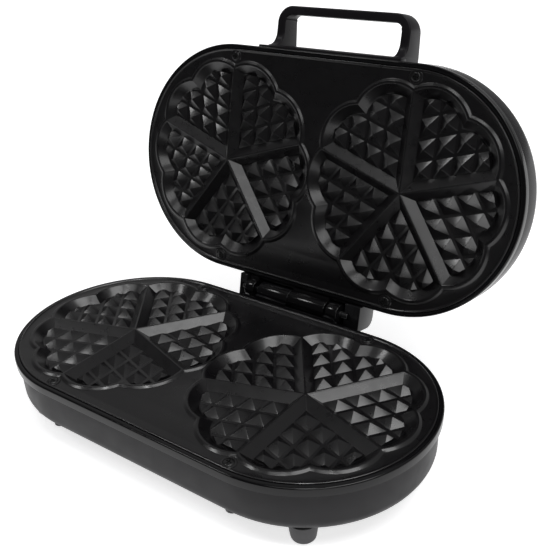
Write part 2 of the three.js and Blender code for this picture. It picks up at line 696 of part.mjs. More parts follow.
function handle() {
  const top = HANDLE_HIGH + HANDLE_DRAFT;
  const saddle = extrudedAlongX([
    [-80, HANDLE_STEP], [-HANDLE_ROOT, HANDLE_STEP], [-HANDLE_ROOT, top - 1.5],
    [-HANDLE_ROOT + 1.5, top], [-88, top], [-74, 2 * HALF_GAP - LID_TOP + 0.6], [-74, 30],
  ], -HANDLE_HALF, HANDLE_HALF);
  const strip = box(-STRIP_HALF, STRIP_HALF, -HANDLE_ROOT + 0.5, -80, 9, HANDLE_STEP + 2);
  const feet = [1, -1].map(legFoot);
  const block = join(saddle, strip, ...feet).add(grip()).subtract(toSolid(lidRoom()));
  const bosses = HANDLE_SCREW_X.map((x) =>
    toSolid(rodY(HANDLE_BOSS_R, -HANDLE_ROOT + 0.8, -HANDLE_SEAT - 0.3, x, HANDLE_SCREW_Z, 12)));
  const bores = HANDLE_SCREW_X.map((x) =>
    rodY(SCREW_SHANK_R + CLEAR, -HANDLE_ROOT + 1.2, -80, x, HANDLE_SCREW_Z, 8));
  return fromSolid(cut(bosses.reduce((sum, boss) => sum.add(boss), block), ...bores));
}

// ---- Assembly ----
// The lid's pieces are drawn like the base's, then turned over onto it: z becomes the gap less z.
function toLidFrame(geometry) {
  const flipped = geometry.clone().scale(1, 1, -1).translate(0, 0, 2 * HALF_GAP);
  const index = flipped.index ? Array.from(flipped.index.array)
    : Array.from({ length: flipped.attributes.position.count }, (_, i) => i);
  for (let i = 0; i < index.length; i += 3) {
    [index[i + 1], index[i + 2]] = [index[i + 2], index[i + 1]];
  }
  flipped.setIndex(index);
  flipped.computeVertexNormals();
  return flipped;
}

function place(group, name, geometry, material, position = [0, 0, 0]) {
  const mesh = new THREE.Mesh(geometry, paint(...material));
  mesh.name = name;
  mesh.position.set(...position);
  group.add(mesh);
}

const CORNERS = ['front_left', 'front_right', 'rear_left', 'rear_right'];

function buildBase() {
  const base = new THREE.Group();
  place(base, 'base_shell', baseShell(), SHELL_PLASTIC);
  place(base, 'base_bottom_cover', bottomCover(), DARK_STEEL);
  place(base, 'base_bezel', bezel(), GLOSS_PLASTIC);
  place(base, 'lower_waffle_plate', wafflePlate(), NONSTICK);
  place(base, 'lower_heater', heater(), DARK_STEEL);
  place(base, 'lower_reflector', reflector(0.8), STEEL);
  place(base, 'thermostat', thermostat(), CERAMIC);
  place(base, 'thermal_fuse', thermalFuse(), STEEL);
  place(base, 'terminal_block', terminalBlock(), CERAMIC);
  place(base, 'supply_wires', supplyWires(), COPPER_WIRE);
  place(base, 'cord_gland', cordGland(), GLOSS_PLASTIC);
  place(base, 'base_hinge_bracket', baseHingeBracket(), GLOSS_PLASTIC);
  place(base, 'hinge_pin', rodX(PIN_R, -PIN_HALF, PIN_HALF, HINGE_Y, HINGE_Z, 12), DARK_STEEL);
  const plateScrew = phillipsScrew(SCREW_HEAD_R, 1.4, PLATE_SCREW, SCREW_SHANK_R);
  const coverScrew = phillipsScrew(3, 1.6, 3, 1.4).rotateX(Math.PI);
  const footPlaces = [[-117, -62], [117, -62], [-101, 70], [101, 70]];
  CORNERS.forEach((corner, i) => {
    place(base, `foot_${corner}`, foot(), RUBBER, [...footPlaces[i], 0]);
    place(base, `lower_plate_screw_${corner}`, plateScrew, DARK_STEEL,
      [...screwPlaces()[i], SCREW_SEAT]);
    place(base, `cover_screw_${corner}`, coverScrew, STEEL,
      [...coverScrewPlaces()[i], BASE_BOTTOM - CLEAR]);
  });
  return base;
}

function buildLid() {
  const closed = new THREE.Group();
  place(closed, 'lid_shell', toLidFrame(lidShell()), SHELL_PLASTIC);
  place(closed, 'lid_bezel', toLidFrame(bezel()), GLOSS_PLASTIC);
  place(closed, 'upper_waffle_plate', toLidFrame(wafflePlate()), NONSTICK);
  place(closed, 'upper_heater', toLidFrame(heater()), DARK_STEEL);
  place(closed, 'upper_reflector', toLidFrame(reflector(0.5)), STEEL);
  place(closed, 'lid_wires', toLidFrame(lidWires()), COPPER_WIRE);
  place(closed, 'handle', handle(), GLOSS_PLASTIC);
  place(closed, 'lid_hinge_bracket', lidHingeBracket(), GLOSS_PLASTIC);
  place(closed, 'lid_hinge_housing', hingeHousing(), GLOSS_PLASTIC);
  const lens = toLidFrame(lampLens());
  place(closed, 'power_lamp_lens', lens, LENS_RED, [LAMP_X[0], LAMP_Y, 0]);
  place(closed, 'ready_lamp_lens', lens, LENS_GREEN, [LAMP_X[1], LAMP_Y, 0]);
  const plateScrew = toLidFrame(
    phillipsScrew(SCREW_HEAD_R, 1.4, PLATE_SCREW, SCREW_SHANK_R).translate(0, 0, SCREW_SEAT));
  CORNERS.forEach((corner, i) => {
    place(closed, `upper_plate_screw_${corner}`, plateScrew, DARK_STEEL, [...screwPlaces()[i], 0]);
  });
  const handleScrew = phillipsScrew(6, 1.8, HANDLE_SCREW, SCREW_SHANK_R).rotateX(-Math.PI / 2);
  place(closed, 'handle_screw_left', handleScrew, STEEL, [HANDLE_SCREW_X[0], -HANDLE_SEAT, HANDLE_SCREW_Z]);
  place(closed, 'handle_screw_right', handleScrew, STEEL, [HANDLE_SCREW_X[1], -HANDLE_SEAT, HANDLE_SCREW_Z]);
  closed.position.set(0, -HINGE_Y, -HINGE_Z);
  const lid = new THREE.Group();
  lid.add(closed);
  lid.position.set(0, HINGE_Y, HINGE_Z);
  lid.rotation.x = -OPEN_ANGLE;
  return lid;
}

const group = new THREE.Group();
group.add(buildBase(), buildLid());
group.position.z = FLOOR_DEPTH;
const extent = new THREE.Box3().setFromObject(group, true);
group.position.y = -(extent.min.y + extent.max.y) / 2;
export default group;
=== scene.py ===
"""Double heart waffle maker standing open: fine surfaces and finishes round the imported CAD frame.

Blender works in metres in the CAD frame, +Z up. Shapes are drawn in millimetres in a half's own frame,
with z counted from the parting plane, and are then placed on the base or on the open lid.
"""

import json
import math

import bmesh
import bpy
from mathutils import Matrix, Vector
from mathutils.geometry import tessellate_polygon


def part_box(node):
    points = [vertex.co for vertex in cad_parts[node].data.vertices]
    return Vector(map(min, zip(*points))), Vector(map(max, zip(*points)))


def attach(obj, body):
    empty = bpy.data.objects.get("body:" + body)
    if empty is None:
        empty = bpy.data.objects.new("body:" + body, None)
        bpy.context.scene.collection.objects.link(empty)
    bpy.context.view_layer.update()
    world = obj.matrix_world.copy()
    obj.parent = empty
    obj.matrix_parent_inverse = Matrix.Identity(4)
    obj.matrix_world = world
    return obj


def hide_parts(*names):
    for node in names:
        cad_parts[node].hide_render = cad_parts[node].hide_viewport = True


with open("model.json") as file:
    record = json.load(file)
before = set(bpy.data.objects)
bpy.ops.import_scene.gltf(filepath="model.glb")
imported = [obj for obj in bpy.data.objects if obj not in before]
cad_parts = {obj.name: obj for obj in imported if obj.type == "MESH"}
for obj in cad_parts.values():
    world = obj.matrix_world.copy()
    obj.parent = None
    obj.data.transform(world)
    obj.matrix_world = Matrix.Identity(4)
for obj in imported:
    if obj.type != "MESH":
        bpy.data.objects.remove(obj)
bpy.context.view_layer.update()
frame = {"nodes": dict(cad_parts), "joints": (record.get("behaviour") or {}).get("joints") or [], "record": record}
MM = 0.001

# ---- Sizes read from the frame ----


def frame_box(node):
    """A CAD node's lowest and highest corners, in millimetres."""
    low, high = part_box(node)
    return low / MM, high / MM


plate_low, plate_high = frame_box("lower_waffle_plate")
shell_low, shell_high = frame_box("base_shell")
bezel_low, bezel_high = frame_box("base_bezel")
cover_low, cover_high = frame_box("base_bottom_cover")
hinge_joint = frame["joints"][0]

BEAD_TOP = 0.75  # crest of the raised bead, above the parting plane
PLATE_R = (plate_high.y - plate_low.y) / 2
SPAN = plate_high.x - PLATE_R
SHELL_R = (shell_high.y - shell_low.y) / 2
BEZEL_R = (bezel_high.y - bezel_low.y) / 2
COVER_R = (cover_high.y - cover_low.y) / 2
CENTRE_Y = (plate_high.y + plate_low.y) / 2
PARTING_Z = plate_high.z - BEAD_TOP
BASE_BOTTOM = shell_low.z - PARTING_Z
TABLE = -PARTING_Z
HINGE = Vector(hinge_joint["pos_m"]) / MM
HINGE_Y = HINGE.y - CENTRE_Y
HINGE_Z = HINGE.z - PARTING_Z
OPEN_ANGLE = math.radians(hinge_joint["range_deg"][1])
HALF_GAP = 1.0

# ---- Shape dimensions, in millimetres ----
ARC_STEPS = 56
PLATE_TOP = -0.7
PLATE_BOTTOM = -3.5
LOBE_CENTRE = 47.6
LOBE_R = 28.6
LOBE_STEPS = 16
CELL_FLOOR = -4.8
WALL_RUN = 1.146
RIDGE_HALF = 1.25
TUB_INSET = 1.0
TUB_BOTTOM = -7.6
PYRAMID_START = 6.9
PYRAMID_PITCH = 15.4
PYRAMID_SIDE = 13.2
PYRAMID_TOP = -0.1
PYRAMID_SUNK = 0.6
FIELD_INSET = 6.6
SCREW_Y = 80.5
SCREW_SEAT = -1.0
SCREW_HEAD_R = 3.5
SCREW_SHANK_R = 1.6
CLEAR = 0.3
BOSS_R = 4.6
BOSS_HOLE_END = -20
POST_R = 3
POST_END = -20.3
BASE_POST_Y = 66
LID_POST_X = 36
LID_POST_Y = 56
PLATE_SCREW = 15
LEDGE_R = 77
LEDGE_BOTTOM = -6.0
BEZEL_TOP = -0.6
BEZEL_SKIRT = -7.0
SKIRT_R = 86.9
SHELL_TOP = BEZEL_SKIRT - CLEAR
RIM_R = SKIRT_R - CLEAR
RIM_TOP = LEDGE_BOTTOM - CLEAR
LID_SHELL_R = 89.0
LID_FLARE = 0.4
SHELL_WALL = 2.4
BASE_TAPER = 0.3
BASE_CORNER = 9.5
COVER_THICK = 1.2
COVER_SEAT = 5.6
COVER_SCREW_HOLE_R = 1.7
VENT_HALF = 17
VENT_WIDTH_HALF = 1.6
VENT_PITCH = 9
VENT_CENTRE = SPAN - 8
LID_TOP = -35.3
LID_CORNER = 14
LAMP_X = 13
LAMP_Y = -62
LAMP_R = 3
GLAND_X = 70
GLAND_Y = 82.3
GLAND_Z = -25
GLAND_R = 5.2
BARREL_R = 7.5
BRACKET_FRONT = HINGE_Y - 9.9
PIN_R = 2.4
PIN_HALF = 50
BRACKET_HALF = 45
BRACKET_BACK = HINGE_Y - 7.8
PAD_HALF = 40
PAD_BACK = HINGE_Y - 9
PAD_REACH = 16.8
LONG_KNUCKLE_END = 31.5
LID_SHORT_KNUCKLE = (-44.3, -36)
BASE_SHORT_KNUCKLE = (33.2, 43)
HOUSING_LEFT = -54
HOUSING_RIGHT = 60
HOUSING_BACK = HINGE_Y + 10.3
HOUSING_LOW = 0.2
HOUSING_HIGH = 23
HOUSING_CORNER = 8
HOUSING_SKIN = 2.2
KNUCKLE_MEETING = -2.2
CHEEK_INNER = 47
HANDLE_HALF = 57.6
HANDLE_FRONT = 121.7
HANDLE_LOW = 25.8
HANDLE_HIGH = 42
HANDLE_LEG = 7.3
HANDLE_BAR = 6.6
HANDLE_CORNER = 13
HANDLE_EDGE = 1.2
HANDLE_FLARE = 10
HANDLE_DRAFT = 3.6
HANDLE_STEP = 16
HANDLE_ROOT = 91.8
STRIP_HALF = 61.4
HANDLE_BOSS_R = 4.5
HANDLE_SCREW_X = 40
HANDLE_SCREW_Z = 18
HANDLE_SCREW = 6
HANDLE_SEAT = 84.3

RAD18 = math.pi / 10
AXIAL = LOBE_CENTRE * math.cos(RAD18)
LATERAL = LOBE_CENTRE * math.sin(RAD18)

# ---- Places ----
TO_BASE = Matrix.Scale(MM, 4) @ Matrix.Translation((0, CENTRE_Y, PARTING_Z))
SWING = Matrix.Translation(HINGE) @ Matrix.Rotation(-OPEN_ANGLE, 4, "X") @ Matrix.Translation(-HINGE)
TO_CLOSED_LID = Matrix.Scale(MM, 4) @ SWING @ Matrix.Translation((0, CENTRE_Y, PARTING_Z))
TO_LID = TO_CLOSED_LID @ Matrix.Translation((0, 0, 2 * HALF_GAP)) @ Matrix.Diagonal((1, 1, -1, 1))


# ---- Mesh tools ----
def ring(bm, points):
    return [bm.verts.new(p) for p in points]


def bridge(bm, first, second):
    """Faces between two closed rings. A ring of one vertex is a pole."""
    count = max(len(first), len(second))
    for i in range(count):
        j = (i + 1) % count
        near = [first[i % len(first)], first[j % len(first)]]
        far = [second[j % len(second)], second[i % len(second)]]
        corners = [*near, *far]
        unique = [v for k, v in enumerate(corners) if v not in corners[:k]]
        bm.faces.new(unique)


def fill(bm, rings):
    """A flat face set inside the first ring and outside the others."""
    if len(rings) == 1:
        bm.faces.new(rings[0])
        return
    vertices = [v for one in rings for v in one]
    for triangle in tessellate_polygon([[v.co for v in one] for one in rings]):
        bm.faces.new([vertices[i] for i in triangle])


def closed(bm):
    bmesh.ops.recalc_face_normals(bm, faces=bm.faces)
    return bm


def stacked(layers, closes=False):
    """Rings of equal count joined in order: capped at both ends, or joined end to start."""
    bm = bmesh.new()
    rings = [ring(bm, layer) for layer in layers]
    for first, second in zip(rings, rings[1:]):
        bridge(bm, first, second)
    if closes:
        bridge(bm, rings[-1], rings[0])
    else:
        fill(bm, [rings[0]])
        fill(bm, [rings[-1]])
    return closed(bm)


def stadium(radius, z):
    """The outline at a distance from the line between the two rosettes' centres."""
    points = []
    for side in (1, -1):
        for i in range(ARC_STEPS + 1):
            angle = side * -math.pi / 2 + math.pi * i / ARC_STEPS
            points.append(Vector((side * SPAN + radius * math.cos(angle), radius * math.sin(angle), z)))
    return points


def stadium_ring(profile):
    return stacked([stadium(r, z) for r, z in profile], closes=True)


def stadium_solid(profile):
    return stacked([stadium(r, z) for r, z in profile])


def arc(centre_r, centre_z, radius, start, end, steps):
    angles = [math.radians(start + (end - start) * i / steps) for i in range(steps + 1)]
    return [(centre_r + radius * math.cos(a), centre_z + radius * math.sin(a)) for a in angles]


def turned(profile, sides=48):
    """A solid of revolution about Z. The profile starts and ends on the axis."""
    bm = bmesh.new()
    rings = []
    for r, z in profile:
        angles = [2 * math.pi * i / sides for i in range(sides)] if r > 0 else [0]
        rings.append(ring(bm, [(r * math.cos(a), r * math.sin(a), z) for a in angles]))
    for first, second in zip(rings, rings[1:]):
        bridge(bm, first, second)
    return closed(bm)


def rod(radius, length, edge, sides=48):
    """A rod along Z from 0, with rounded end edges."""
    bottom = arc(radius - edge, edge, edge, -90, 0, 3)
    top = arc(radius - edge, length - edge, edge, 0, 90, 3)
    return turned([(0, 0), *bottom, *top, (0, length)], sides)


def moved(bm, matrix):
    bm.transform(matrix)
    return bm


def rod_x(radius, x0, x1, y, z, edge=0.4, sides=48):
    turn = Matrix.Rotation(math.pi / 2, 4, "Y")
    return moved(rod(radius, x1 - x0, edge, sides), Matrix.Translation((x0, y, z)) @ turn)


def rod_y(radius, y0, y1, x, z, edge=0.01, sides=32):
    turn = Matrix.Rotation(-math.pi / 2, 4, "X")
    return moved(rod(radius, y1 - y0, edge, sides), Matrix.Translation((x, y0, z)) @ turn)


def post(radius, z0, z1, x, y, edge=0.01, sides=32):
    return moved(rod(radius, z1 - z0, edge, sides), Matrix.Translation((x, y, z0)))


def rounded(bm, width, segments=2):
    """Rounds every edge that turns by more than 30 degrees."""
    edges = [e for e in bm.edges if e.calc_face_angle(0) > math.radians(30)]
    bmesh.ops.bevel(
        bm, geom=edges, offset=width, offset_type="OFFSET", segments=segments, profile=0.5,
        affect="EDGES", clamp_overlap=True)
    return bm


def block(x0, x1, y0, y1, z0, z1, edge=0.0):
    bm = bmesh.new()
    corners = [Vector((x0, y0, z0)), Vector((x1, y1, z1))]
    middle = (corners[0] + corners[1]) / 2
    bmesh.ops.create_cube(bm, matrix=Matrix.LocRotScale(middle, None, corners[1] - corners[0]))
    return rounded(bm, edge) if edge else bm


def profile_along_x(outline, x0, x1):
    """A closed (y, z) outline carried from x0 to x1."""
    bm = bmesh.new()
    ends = [ring(bm, [(x, y, z) for y, z in outline]) for x in (x0, x1)]
    bridge(bm, ends[0], ends[1])
    bm.faces.new(ends[0])
    bm.faces.new(ends[1])
    return closed(bm)


def merged(*meshes):
    """Several closed bodies that don't touch, in one bmesh."""
    whole = bmesh.new()
    for bm in meshes:
        data = bpy.data.meshes.new("part")
        bm.to_mesh(data)
        bm.free()
        whole.from_mesh(data)
        bpy.data.meshes.remove(data)
    return whole


def boolean(target, tool, operation):
    """The exact union of, or difference between, two closed meshes."""
    made = []
    for bm in (target, tool):
        data = bpy.data.meshes.new("operand")
        bm.to_mesh(data)
        bm.free()
        operand = bpy.data.objects.new("operand", data)
        bpy.context.scene.collection.objects.link(operand)
        made.append(operand)
    change = made[0].modifiers.new("change", "BOOLEAN")
    change.operation = operation
    change.solver = "EXACT"
    change.object = made[1]
    evaluated = made[0].evaluated_get(bpy.context.evaluated_depsgraph_get())
    result = bmesh.new()
    result.from_mesh(evaluated.to_mesh())
    evaluated.to_mesh_clear()
    for operand in made:
        data = operand.data
        bpy.data.objects.remove(operand)
        bpy.data.meshes.remove(data)
    bmesh.ops.remove_doubles(result, verts=result.verts, dist=1e-4)
    return result


def cut(target, *tools):
    return boolean(target, merged(*tools), "DIFFERENCE")


def join(target, *tools):
    for tool in tools:
        target = boolean(target, tool, "UNION")
    return target


# ---- Materials ----
def noise(tree, coordinates, scale, detail):
    node = tree.nodes.new("ShaderNodeTexNoise")
    node.inputs["Scale"].default_value = scale
    node.inputs["Detail"].default_value = detail
    tree.links.new(coordinates, node.inputs["Vector"])
    return node.outputs["Fac"]


def spread(tree, value, low, high, start=0.3, end=0.7):
    node = tree.nodes.new("ShaderNodeMapRange")
    node.inputs["From Min"].default_value = start
    node.inputs["From Max"].default_value = end
    node.inputs["To Min"].default_value = low
    node.inputs["To Max"].default_value = high
    tree.links.new(value, node.inputs["Value"])
    return node.outputs["Result"]


def blend_colours(tree, factor, first, second):
    node = tree.nodes.new("ShaderNodeMix")
    node.data_type = "RGBA"
    tree.links.new(factor, node.inputs["Factor"])
    for socket, colour in ((node.inputs[6], first), (node.inputs[7], second)):
        if isinstance(colour, tuple):
            socket.default_value = (*colour, 1)
        else:
            tree.links.new(colour, socket)
    return node.outputs[2]


def finish(name, dark, light, roughness, play=0.05, grain=900, bump=0.08, patch=18, edge_wear_and_highlight=None, **fixed):
    """A finish whose colour drifts in patches, with a fine grain, varied gloss and paler edges: partly wear,
    partly a painted highlight.
    """
    material = bpy.data.materials.new(name)
    material.use_nodes = True
    tree = material.node_tree
    shader = tree.nodes["Principled BSDF"]
    coordinates = tree.nodes.new("ShaderNodeTexCoord").outputs["Object"]
    patches = noise(tree, coordinates, patch, 4)
    grains = noise(tree, coordinates, grain, 3)
    colour = blend_colours(tree, spread(tree, patches, 0, 1), dark, light)
    # Pointy, convex edges are blended towards the paler edge colour: partly wear, partly a painted highlight along
    # edges and ridges.
    if edge_wear_and_highlight:
        pointiness = tree.nodes.new("ShaderNodeNewGeometry").outputs["Pointiness"]
        edges = spread(tree, pointiness, 0, 0.8, 0.52, 0.6)
        colour = blend_colours(tree, edges, colour, edge_wear_and_highlight)
    tree.links.new(colour, shader.inputs["Base Color"])
    smears = noise(tree, coordinates, patch * 5, 5)
    rough = spread(tree, smears, roughness - play, roughness + play)
    tree.links.new(rough, shader.inputs["Roughness"])
    relief = tree.nodes.new("ShaderNodeBump")
    relief.inputs["Strength"].default_value = bump
    relief.inputs["Distance"].default_value = 0.0002
    tree.links.new(grains, relief.inputs["Height"])
    tree.links.new(relief.outputs["Normal"], shader.inputs["Normal"])
    for socket, value in fixed.items():
        shader.inputs[socket.replace("_", " ")].default_value = value
    return material


# Each paler edge colour below is partly wear and partly a painted highlight along convex edges; on the plate it
# paints bright lines on the pyramids' ridges.
FINISH = {
    "shell_plastic": finish(
        "shell_plastic", (0.0115, 0.0110, 0.0120), (0.0155, 0.0148, 0.0162), 0.46, grain=1500, bump=0.08,
        edge_wear_and_highlight=(0.025, 0.024, 0.026), Specular_IOR_Level=0.22),
    "lid_plastic": finish(
        "lid_plastic", (0.0085, 0.008, 0.009), (0.012, 0.0114, 0.0126), 0.2, grain=700, bump=0.02,
        edge_wear_and_highlight=(0.03, 0.029, 0.03), Specular_IOR_Level=0.08),
    "black_plastic": finish(
        "black_plastic", (0.0020, 0.0018, 0.0022), (0.0032, 0.0029, 0.0034), 0.14, grain=600, bump=0.02,
        edge_wear_and_highlight=(0.012, 0.012, 0.013), Specular_IOR_Level=0.3),
    "handle_plastic": finish(
        "handle_plastic", (0.0120, 0.0110, 0.0128), (0.0160, 0.0148, 0.0168), 0.32, grain=1100, bump=0.03,
        edge_wear_and_highlight=(0.025, 0.024, 0.026), Specular_IOR_Level=0.12),
    "nonstick_plate": finish(
        "nonstick_plate", (0.0032, 0.0029, 0.0035), (0.0050, 0.0045, 0.0053), 0.30, play=0.04, grain=1300,
        bump=0.04, patch=30, edge_wear_and_highlight=(0.02, 0.019, 0.02), Specular_IOR_Level=0.42,
        Coat_Weight=0.22, Coat_Roughness=0.12),
    "heater_steel": finish(
        "heater_steel", (0.07, 0.065, 0.06), (0.13, 0.12, 0.11), 0.45, Metallic=1.0),
    "reflector_sheet": finish(
        "reflector_sheet", (0.5, 0.5, 0.51), (0.62, 0.62, 0.63), 0.3, patch=40, Metallic=1.0),
    "cover_metal": finish(
        "cover_metal", (0.018, 0.018, 0.020), (0.028, 0.028, 0.030), 0.55, grain=1800, bump=0.2,
        edge_wear_and_highlight=(0.09, 0.09, 0.09)),
    "ceramic": finish("ceramic", (0.55, 0.5, 0.42), (0.7, 0.66, 0.58), 0.65, grain=2200, bump=0.15),
    "wire_insulation": finish("wire_insulation", (0.16, 0.02, 0.015), (0.26, 0.035, 0.025), 0.6),
    "foot_rubber": finish(
        "foot_rubber", (0.020, 0.019, 0.021), (0.028, 0.027, 0.029), 0.5, grain=2400, bump=0.12,
        edge_wear_and_highlight=(0.05, 0.05, 0.05)),
    "pin_steel": finish(
        "pin_steel", (0.012, 0.012, 0.013), (0.02, 0.02, 0.021), 0.25, edge_wear_and_highlight=(0.1, 0.1, 0.1), Metallic=0.6),
    "screw_steel": finish("screw_steel", (0.35, 0.35, 0.36), (0.5, 0.5, 0.51), 0.35, Metallic=1.0),
    "plate_screw_steel": finish(
        "plate_screw_steel", (0.005, 0.005, 0.0055), (0.009, 0.009, 0.0095), 0.22, edge_wear_and_highlight=(0.06, 0.06, 0.06),
        Metallic=0.3),
    "red_lens": finish("red_lens", (0.3, 0.012, 0.01), (0.42, 0.02, 0.015), 0.12, bump=0.02),
    "green_lens": finish("green_lens", (0.012, 0.2, 0.04), (0.02, 0.3, 0.06), 0.12, bump=0.02),
}


def dress(obj, slot):
    obj.data.materials.clear()
    obj.data.materials.append(FINISH[slot])


def piece(name, bm, place, body, slot, *nodes, sharp=35):
    """A fine piece in place of CAD nodes, riding on their body."""
    bm.transform(place)
    closed(bm)
    data = bpy.data.meshes.new(name)
    bm.to_mesh(data)
    bm.free()
    data.shade_smooth()
    data.set_sharp_from_angle(angle=math.radians(sharp))
    obj = bpy.data.objects.new(name, data)
    bpy.context.scene.collection.objects.link(obj)
    dress(obj, slot)
    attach(obj, body)
    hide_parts(*nodes)
    return obj


# ---- Waffle plate ----
def rosette(centre_x, offset, z):
    """Ten lobes about a centre. The offset grows the outline."""
    r = LOBE_R + offset
    notch = AXIAL + math.sqrt(r * r - LATERAL * LATERAL)
    reach = math.atan2(notch * math.sin(RAD18), notch * math.cos(RAD18) - LOBE_CENTRE)
    points = []
    for lobe in range(10):
        middle = lobe * 2 * RAD18
        for i in range(LOBE_STEPS):
            angle = middle - reach + 2 * reach * i / LOBE_STEPS
            x = centre_x + LOBE_CENTRE * math.cos(middle) + r * math.cos(angle)
            y = LOBE_CENTRE * math.sin(middle) + r * math.sin(angle)
            points.append(Vector((x, y, z)))
    return points


def heart(inset, gap, z):
    """One heart about +X. The sides keep the gap from the dividers' centre lines."""
    r = LOBE_R - inset
    along = AXIAL + math.sqrt(r * r - (gap - LATERAL) ** 2)
    cusp = AXIAL + math.sqrt(r * r - LATERAL * LATERAL)
    side = Matrix.Rotation(-2 * RAD18, 2) @ Vector((along, gap))
    start = math.atan2(side.y + LATERAL, side.x - AXIAL)
    end = math.atan2(LATERAL, cusp - AXIAL)
    lobe = []
    for i in range(LOBE_STEPS + 1):
        angle = start + (end - start) * i / LOBE_STEPS
        lobe.append(Vector((AXIAL + r * math.cos(angle), -LATERAL + r * math.sin(angle), z)))
    other = [Vector((p.x, -p.y, z)) for p in reversed(lobe[:-1])]
    return [Vector((gap / math.sin(2 * RAD18), 0, z)), *lobe, *other]


def heart_walls():
    """(inset, gap, z) of the rings from the cell's floor to the crest, with rounded corners."""
    foot = -CELL_FLOOR * WALL_RUN
    rings = [(foot + 0.3, CELL_FLOOR), (foot + 0.05, CELL_FLOOR + 0.08), (foot - 0.25, CELL_FLOOR + 0.32)]
    rings += [(0, 0), (-0.5, 0.44)]
    levels = [(inset, inset + RIDGE_HALF, z) for inset, z in rings]
    crest = [(-0.72, RIDGE_HALF - 0.66, 0.6), (-0.9, RIDGE_HALF - 0.86, 0.69), (-1.15, 0.05, BEAD_TOP)]
    return [*levels, *crest]


def pyramid(row, column):
    """A pyramid of one heart with its edges rounded, cut off by the curved edge of the field."""
    lengthwise, crosswise = math.cos(2 * RAD18), math.sin(2 * RAD18)
    first = PYRAMID_START + PYRAMID_SIDE / 2
    a, b = first + row * PYRAMID_PITCH, first + column * PYRAMID_PITCH
    centre = Vector(((a + b) * lengthwise, (b - a) * crosswise, 0))
    reach = [Vector((x * PYRAMID_SIDE * lengthwise, y * PYRAMID_SIDE * crosswise, 0))
             for x, y in ((1, 0), (0, 1), (-1, 0), (0, -1))]
    bm = bmesh.new()
    buried = ring(bm, [centre + r + Vector((0, 0, CELL_FLOOR - PYRAMID_SUNK)) for r in reach])
    base = ring(bm, [centre + r + Vector((0, 0, CELL_FLOOR)) for r in reach])
    apex = bm.verts.new(centre + Vector((0, 0, PYRAMID_TOP)))
    bm.faces.new(buried)
    bridge(bm, buried, base)
    bridge(bm, base, [apex])
    closed(bm)
    ridges = [e for e in bm.edges if apex in e.verts]
    bmesh.ops.bevel(bm, geom=ridges, offset=0.2, segments=2, profile=0.6, affect="EDGES")
    side = 1 if centre.y > 0 else -1
    radius = LOBE_R - FIELD_INSET
    for i in range(72):
        angle = 2 * math.pi * i / 72
        out = Vector((math.cos(angle), math.sin(angle), 0))
        edge = Vector((AXIAL, side * LATERAL, 0)) + out * radius
        facing = out.x > 0 or out.y * side > 0
        if facing and centre.y and any((v.co - edge).dot(out) > 0 for v in bm.verts):
            parts = [*bm.verts, *bm.edges, *bm.faces]
            found = bmesh.ops.bisect_plane(bm, geom=parts, plane_co=edge, plane_no=out, clear_outer=True)
            rim = [e for e in found["geom_cut"] if isinstance(e, bmesh.types.BMEdge)]
            if rim:
                bmesh.ops.edgeloop_fill(bm, edges=rim)
    return closed(bm)


def pyramid_places():
    rows = range(4)
    full = [(row, column) for row in rows for column in rows if row + column < 4]
    return [*full, (1, 3), (3, 1)]


def heart_cell():
    """The inside of one heart, open at its crest: walls and floor."""
    bm = bmesh.new()
    rings = [ring(bm, heart(inset, gap, z)) for inset, gap, z in heart_walls()]
    for first, second in zip(rings, rings[1:]):
        bridge(bm, first, second)
    fill(bm, [rings[0]])
    return bm


def in_every_heart(bm):
    """Copies of what is drawn about +X, turned into the ten hearts of a plate."""
    turns = [
        Matrix.Translation((x, 0, 0)) @ Matrix.Rotation(axis, 4, "Z")
        for x in (-SPAN, SPAN) for axis in heart_axes()]
    whole = merged(*[moved(bm.copy(), turn) for turn in turns])
    bm.free()
    return whole


def heart_axes():
    return [math.radians(-54 + 72 * k) for k in range(5)]


